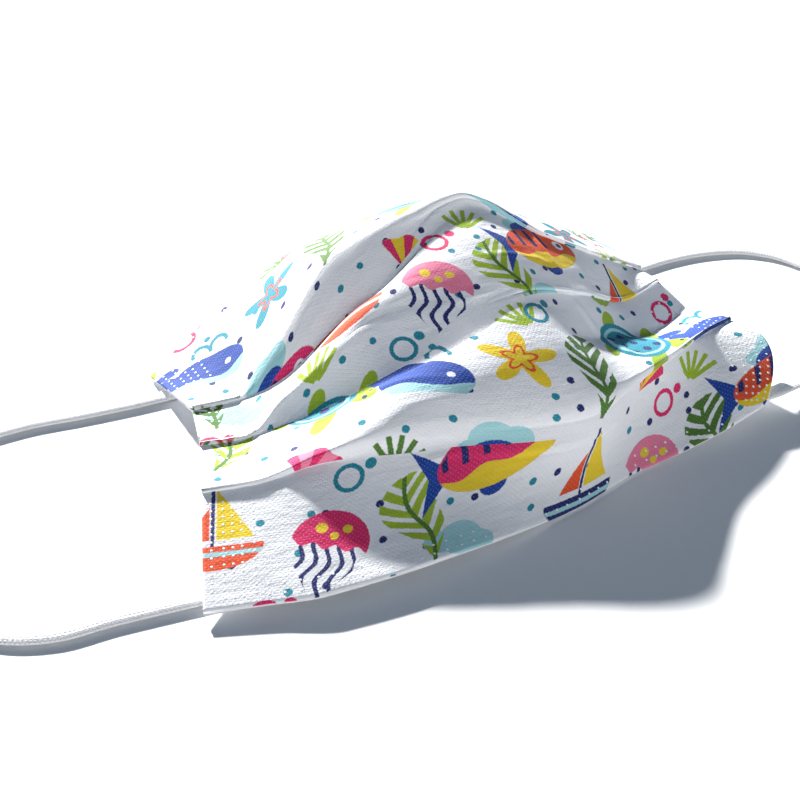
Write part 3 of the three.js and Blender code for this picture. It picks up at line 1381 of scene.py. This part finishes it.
    def shell(
        self, name: str, material: bpy.types.Material, top: float, bottom: float, stride: int
    ) -> bpy.types.Object:
        """Makes one closed layer of the cloth.

        Args:
            name: the piece's name.
            material: its finish.
            top: how far its upper face lies below the cloth's outside, in millimetres.
            bottom: how far its lower face lies below the cloth's outside.
            stride: every how many columns and rows it is cut.

        Returns:
            The layer's object.
        """
        columns = np.arange(0, self.surface.shape[0], stride)
        rows = np.union1d(np.arange(0, self.surface.shape[1], stride), self.fold_rows)
        surface = self.surface[np.ix_(columns, rows)]
        normals = self.normals[np.ix_(columns, rows)]
        layers = []
        for depth in (top, bottom):
            layer = surface - normals * depth
            layer[:, :, 2] = np.maximum(layer[:, :, 2], self.table_gap + LYING_HEIGHT - depth)
            layers.append(layer)
        nc, nr = len(columns), len(rows)
        index = np.arange(2 * nc * nr).reshape(2, nc, nr)
        upper, lower = index
        quads = [
            np.stack([upper[:-1, :-1], upper[:-1, 1:], upper[1:, 1:], upper[1:, :-1]], axis=-1),
            np.stack([lower[:-1, :-1], lower[1:, :-1], lower[1:, 1:], lower[:-1, 1:]], axis=-1),
        ]
        faces = np.concatenate([q.reshape(-1, 4) for q in quads])
        rims = (
            (upper[:-1, 0], upper[1:, 0], lower[1:, 0], lower[:-1, 0]),
            (lower[:-1, -1], lower[1:, -1], upper[1:, -1], upper[:-1, -1]),
            (upper[0, :-1], lower[0, :-1], lower[0, 1:], upper[0, 1:]),
            (upper[-1, :-1], upper[-1, 1:], lower[-1, 1:], lower[-1, :-1]),
        )
        faces = np.concatenate([faces] + [np.stack(r, axis=-1) for r in rims])
        uv = self.flat_coordinates(faces, index, columns, rows)
        points = np.concatenate([layer.reshape(-1, 3) for layer in layers]) * MM
        return plain_mesh(name, points, faces, material, uv)

    def flat_coordinates(
        self, faces: np.ndarray, index: np.ndarray, columns: np.ndarray, rows: np.ndarray
    ) -> np.ndarray:
        """Gives each face corner its place on the flat cloth.

        Args:
            faces: the corners of each face.
            index: corner numbers by layer, column and row.
            columns: the surface's columns that are used.
            rows: the surface's rows that are used.

        Returns:
            The places in metres, as an (m, 4, 2) array.
        """
        _, nc, nr = index.shape
        column = (faces % (nc * nr)) // nr
        row = faces % nr
        first, last = row.min(axis=1), row.max(axis=1)
        gap = np.where(first == last, np.minimum(first, nr - 2), first)
        lower_row = rows[gap]
        upper_row = rows[np.minimum(gap + 1, nr - 1)] - 1
        at_first = row == gap[:, None]
        source = columns[column]
        v = np.where(
            at_first,
            self.flat[source, lower_row[:, None], 0],
            self.flat[source, upper_row[:, None], 1],
        )
        u = self.share[source] * FLAT_WIDTH
        return np.stack([u, -v], axis=-1) * MM

    def weld_places(self) -> tuple[np.ndarray, np.ndarray]:
        """Lays out the welding points.

        Returns:
            Their places in metres and the directions they face.
        """
        walked = walked_lengths(self.surface)
        places, facings = [], []
        for place, reach in self.welds.flat_places(lambda place: walked[self.column_at(place), -1]):
            i = self.column_at(place)
            j = int(np.clip(np.searchsorted(walked[i], reach), 1, walked.shape[1] - 1))
            to_fold = np.abs(walked[i, self.fold_rows[1:-1]] - reach).min()
            if to_fold < self.welds.clear_of_folds or PANELS[self.row_panel[j - 1]].hangs_from_top:
                continue
            t = (reach - walked[i, j - 1]) / max(walked[i, j] - walked[i, j - 1], 1e-6)
            places.append(self.surface[i, j - 1] * (1 - t) + self.surface[i, j] * t)
            facings.append(self.normals[i, j - 1] * (1 - t) + self.normals[i, j] * t)
        return np.array(places) * MM, np.array(facings)

    def column_at(self, place: float) -> int:
        """Returns the column nearest to a place in millimetres from the left side."""
        return int(round(place / FLAT_WIDTH * self.columns))

    def build(self) -> None:
        printed = Nonwoven("printed_cloth", SeaPrint()).material()
        white = Nonwoven("lining_cloth", None).material()
        outside = self.shell("mask_printed_cloth", printed, 0.0, self.outer_thickness, 1)
        lining = self.shell(
            "mask_lining", white, self.lining_top, self.lining_bottom, self.lining_stride
        )
        welds = WeldPoints("mask_weld_points").build(*self.weld_places())
        for piece in (outside, lining, welds):
            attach(piece, ROOT)
        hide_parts(self.node)
        length = sum(p.flat for p in PANELS) * MM
        LOG.info("body: %d faces outside", len(outside.data.polygons))


@dataclass
class WeldPoints:
    """Small flat welding points, set on the cloth by a geometry node tree."""

    name: str
    radius: float = 0.30
    rise: float = 0.05
    roundness: int = 2  # subdivisions of a bead

    def tree(self, material: bpy.types.Material) -> bpy.types.GeometryNodeTree:
        """Builds the tree that puts a flattened bead on every place.

        Args:
            material: the finish of the beads.

        Returns:
            The tree, with inputs for the beads' radius and rise.
        """
        beads = Tree(bpy.data.node_groups.new("weld_beads", "GeometryNodeTree"))
        sockets = beads.tree.interface
        sockets.new_socket("Places", in_out="INPUT", socket_type="NodeSocketGeometry")
        for label in ("Radius", "Rise"):
            sockets.new_socket(label, in_out="INPUT", socket_type="NodeSocketFloat")
        sockets.new_socket("Beads", in_out="OUTPUT", socket_type="NodeSocketGeometry")
        given = beads.node("NodeGroupInput")
        radius, rise = beads.value(given, "Radius"), beads.value(given, "Rise")
        facing = beads.node(
            "GeometryNodeInputNamedAttribute", {"data_type": "FLOAT_VECTOR"}, Name="facing"
        )
        turn = beads.node(
            "FunctionNodeAlignRotationToVector",
            {"axis": "Z"},
            Vector=beads.value(facing, "Attribute"),
        )
        size = beads.node("ShaderNodeCombineXYZ", X=radius, Y=radius, Z=rise)
        bead = beads.node("GeometryNodeMeshIcoSphere", Radius=1.0, Subdivisions=self.roundness)
        placed = beads.node(
            "GeometryNodeInstanceOnPoints",
            Points=beads.value(given, "Places"),
            Instance=beads.value(bead, "Mesh"),
            Rotation=beads.value(turn, "Rotation"),
            Scale=beads.value(size),
        )
        real = beads.node("GeometryNodeRealizeInstances", Geometry=beads.value(placed, "Instances"))
        finish = beads.node(
            "GeometryNodeSetMaterial", Geometry=beads.value(real, "Geometry"), Material=material
        )
        beads.node("NodeGroupOutput", Beads=beads.value(finish, "Geometry"))
        return beads.tree

    def build(self, places: np.ndarray, facings: np.ndarray) -> bpy.types.Object:
        """Sets the beads.

        Args:
            places: their centres in metres.
            facings: the directions they face.

        Returns:
            The beads as one plain mesh.
        """
        material = WeldGloss("weld_gloss").material()
        mesh = bpy.data.meshes.new(self.name + "_places")
        mesh.from_pydata(places.tolist(), [], [])
        layer = mesh.attributes.new("facing", "FLOAT_VECTOR", "POINT")
        layer.data.foreach_set("vector", facings.reshape(-1).astype(np.float32))
        carrier = bpy.data.objects.new(self.name + "_places", mesh)
        bpy.context.scene.collection.objects.link(carrier)
        tree = self.tree(material)
        modifier = carrier.modifiers.new("beads", "NODES")
        modifier.node_group = tree
        wanted = {"Radius": self.radius * MM, "Rise": self.rise * MM}
        for item in tree.interface.items_tree:
            if item.in_out == "INPUT" and item.name in wanted:
                modifier[item.identifier] = wanted[item.name]
        depsgraph = bpy.context.evaluated_depsgraph_get()
        done = bpy.data.meshes.new_from_object(carrier.evaluated_get(depsgraph))
        done.name = self.name
        done.polygons.foreach_set("use_smooth", np.ones(len(done.polygons), bool))
        bpy.data.objects.remove(carrier)
        piece = bpy.data.objects.new(self.name, done)
        bpy.context.scene.collection.objects.link(piece)
        LOG.info("weld points: %d", len(places))
        return piece


@dataclass
class EarLoop:
    """One flat elastic loop, welded under the side of the mask at both ends."""

    name: str
    node: str
    route: tuple[Point, ...]
    width: float = 4.2
    thickness: float = 1.4
    width_roundness: float = 0.8  # below 1 the section is fuller than an oval
    thickness_roundness: float = 0.9
    rings: int = 260
    corners: int = 20
    cuts: int = 40  # fine steps between two points of the route

    def centre_line(self) -> np.ndarray:
        """Runs a smooth curve through the route.

        Returns:
            Evenly spaced points on it in millimetres.
        """
        p = np.array(self.route) + CENTRING
        p = np.concatenate([[2 * p[0] - p[1]], p, [2 * p[-1] - p[-2]]])
        knots = np.concatenate([[0], np.cumsum(np.sqrt(np.linalg.norm(np.diff(p, axis=0), axis=1)))])
        dense = []
        for i in range(1, len(p) - 2):
            t0, t1, t2, t3 = knots[i - 1 : i + 3]
            t = np.linspace(t1, t2, self.cuts, endpoint=i == len(p) - 3)[:, None]
            a1 = (t1 - t) / (t1 - t0) * p[i - 1] + (t - t0) / (t1 - t0) * p[i]
            a2 = (t2 - t) / (t2 - t1) * p[i] + (t - t1) / (t2 - t1) * p[i + 1]
            a3 = (t3 - t) / (t3 - t2) * p[i + 1] + (t - t2) / (t3 - t2) * p[i + 2]
            b1 = (t2 - t) / (t2 - t0) * a1 + (t - t0) / (t2 - t0) * a2
            b2 = (t3 - t) / (t3 - t1) * a2 + (t - t1) / (t3 - t1) * a3
            dense.append((t2 - t) / (t2 - t1) * b1 + (t - t1) / (t2 - t1) * b2)
        line = np.concatenate(dense)
        walked = walked_lengths(line)
        even = np.linspace(0, walked[-1], self.rings)
        return np.stack([np.interp(even, walked, line[:, k]) for k in range(3)], axis=1)

    def section_rings(self, line: np.ndarray) -> np.ndarray:
        """Sets the flat section on each point of the centre line.

        Args:
            line: the centre line's points.

        Returns:
            The corners as a (point, corner, 3) array.
        """
        along = np.gradient(line, axis=0)
        along /= np.linalg.norm(along, axis=1, keepdims=True)
        side = np.cross(along, (0, 0, 1))
        side /= np.linalg.norm(side, axis=1, keepdims=True)
        up = np.cross(side, along)
        angle = np.linspace(0, 2 * np.pi, self.corners, endpoint=False)
        cosine, sine = np.cos(angle), np.sin(angle)
        wide = np.sign(cosine) * np.abs(cosine) ** self.width_roundness * self.width / 2
        tall = np.sign(sine) * np.abs(sine) ** self.thickness_roundness * self.thickness / 2
        beside = side[:, None] * wide[None, :, None]
        above = up[:, None] * tall[None, :, None]
        return line[:, None] + beside + above

    def skin(self, length: float) -> tuple[np.ndarray, np.ndarray]:
        """Joins the rings, and closes both ends on their centres.

        Args:
            length: the loop's length in millimetres.

        Returns:
            The corners of each face, and the elastic's flat coordinates at them in metres.
        """
        n, m = self.rings, self.corners
        index = np.arange(n * m).reshape(n, m)
        after = np.roll(index, -1, axis=1)
        faces = np.stack([index[:-1], index[1:], after[1:], after[:-1]], axis=-1).reshape(-1, 4)
        girth = np.linspace(0, 2 * (self.width + self.thickness), m + 1)
        ring, corner = np.meshgrid(np.arange(n - 1), np.arange(m), indexing="ij")
        u = np.stack([girth[corner], girth[corner], girth[corner + 1], girth[corner + 1]], axis=-1)
        v = np.stack([ring, ring + 1, ring + 1, ring], axis=-1) * length / (n - 1)
        uv = np.stack([u, v], axis=-1).reshape(-1, 4, 2) * MM
        caps = []
        for k in range(0, m, 2):
            first, middle, last = k, k + 1, (k + 2) % m
            caps.append((index[0, first], index[0, middle], index[0, last], n * m))
            caps.append((index[-1, last], index[-1, middle], index[-1, first], n * m + 1))
        faces = np.concatenate([faces, np.array(caps)])
        return faces, np.concatenate([uv, np.zeros((len(caps), 4, 2))])

    def build(self, material: bpy.types.Material) -> None:
        """Args:
            material: the elastic's finish.
        """
        line = self.centre_line()
        length = walked_lengths(line)[-1]
        rings = self.section_rings(line).reshape(-1, 3)
        faces, uv = self.skin(length)
        points = np.concatenate([rings, line[:1], line[-1:]]) * MM
        piece = plain_mesh(self.name, points, faces, material, uv)
        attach(piece, ROOT)
        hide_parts(self.node)
        LOG.info("%s: %.0f mm long", self.name, length)


LEFT_ROUTE = (
    (-58, 30, 0.85), (-68, 30.5, 0.85), (-82, 32, 0.85), (-97, 34, 0.85), (-109, 33, 0.85),
    (-119, 28, 0.85), (-126, 17, 0.85), (-129, 3, 0.85), (-129, -11, 0.85), (-126, -24, 0.85),
    (-119, -34, 0.85), (-109, -39, 0.85), (-98, -40, 0.85), (-87, -41.5, 0.85), (-77, -43, 0.85),
)
RIGHT_ROUTE = (
    (71, 30, 0.85), (80, 30, 0.85), (91, 30.5, 0.85), (103, 29, 0.85), (113, 25, 0.85),
    (120, 18, 0.85), (124, 8, 0.85), (126.5, -3, 0.85), (128, -15, 0.85), (126, -27, 0.85),
    (119, -36.5, 0.85), (108, -41, 0.85), (96, -41, 0.85), (86, -39.5, 1.6), (77, -40, 2.9),
    (67, -42, 4.2), (58, -42, 4.3),
)


# ---- Setting ------------------------------------------------------------------------


@dataclass(frozen=True)
class Sun:
    """A light from far away: the way it shines, its power, its colour and its width."""

    name: str
    way: Point
    power: float
    colour: Point
    angle_deg: float

    def light(self) -> None:
        """Sets the light."""
        data = bpy.data.lights.new(self.name, "SUN")
        data.energy = self.power
        data.angle = math.radians(self.angle_deg)
        data.color = self.colour
        lamp = bpy.data.objects.new(self.name, data)
        lamp.rotation_euler = Vector(self.way).to_track_quat("-Z", "Y").to_euler()
        bpy.context.scene.collection.objects.link(lamp)


@dataclass(frozen=True)
class Studio:
    """The camera, the lights and the surface that the mask lies on."""

    eye: Point = (-135.9, -232.7, 179.1)
    target: Point = (-25.5, -23.5, 20.0)
    lens: float = 58.72
    sensor_width: float = 36.0
    nearest_seen: float = 10.0
    key: Sun = Sun(
        "key", way=(0.0, -100.0, -44.0), power=12.0, colour=(1.0, 0.985, 0.96), angle_deg=3.0
    )
    fill: Sun = Sun(
        "fill", way=(20.0, 100.0, 0.0), power=2.8, colour=(1.0, 0.96, 0.90), angle_deg=50.0
    )
    sky: Rgba = (0.48, 0.69, 1.0, 1.0)
    sky_power: float = 0.19
    floor_reach: float = 1500.0

    def camera(self) -> None:
        """Sets the camera."""
        eye = Vector((np.array(self.eye) + CENTRING) * MM)
        target = Vector((np.array(self.target) + CENTRING) * MM)
        data = bpy.data.cameras.new("camera")
        data.lens = self.lens
        data.sensor_width = self.sensor_width
        data.clip_start = self.nearest_seen * MM
        camera = bpy.data.objects.new("camera", data)
        camera.location = eye
        camera.rotation_euler = (target - eye).to_track_quat("-Z", "Y").to_euler()
        bpy.context.scene.collection.objects.link(camera)
        bpy.context.scene.camera = camera

    def lights(self) -> None:
        """Sets the key light, the soft fill light and the pale sky."""
        self.key.light()
        self.fill.light()
        world = bpy.data.worlds.new("surroundings")
        bpy.context.scene.world = world
        world.use_nodes = True
        background = world.node_tree.nodes["Background"]
        background.inputs["Color"].default_value = self.sky
        background.inputs["Strength"].default_value = self.sky_power
        bpy.context.scene.view_settings.view_transform = "Standard"

    def floor(self) -> None:
        """Lays the surface."""
        signs = np.array([(-1, -1, 0), (1, -1, 0), (1, 1, 0), (-1, 1, 0)])
        corners = signs * self.floor_reach * MM
        material = PaleFloor("pale_floor").material()
        plain_mesh("floor", corners, np.array([[0, 1, 2, 3]]), material)


def main() -> None:
    """Builds the setting and the mask, in order."""
    logging.basicConfig(level=logging.INFO, format="%(name)s: %(message)s")
    studio = Studio()
    studio.camera()
    elastic = KnitElastic("knit_elastic").material()
    EarLoop("left_ear_loop_band", "ear_loop_left", LEFT_ROUTE).build(elastic)
    EarLoop("right_ear_loop_band", "ear_loop_right", RIGHT_ROUTE).build(elastic)
    PleatedCloth().build()
    studio.lights()
    studio.floor()


if __name__ == "__main__":
    main()
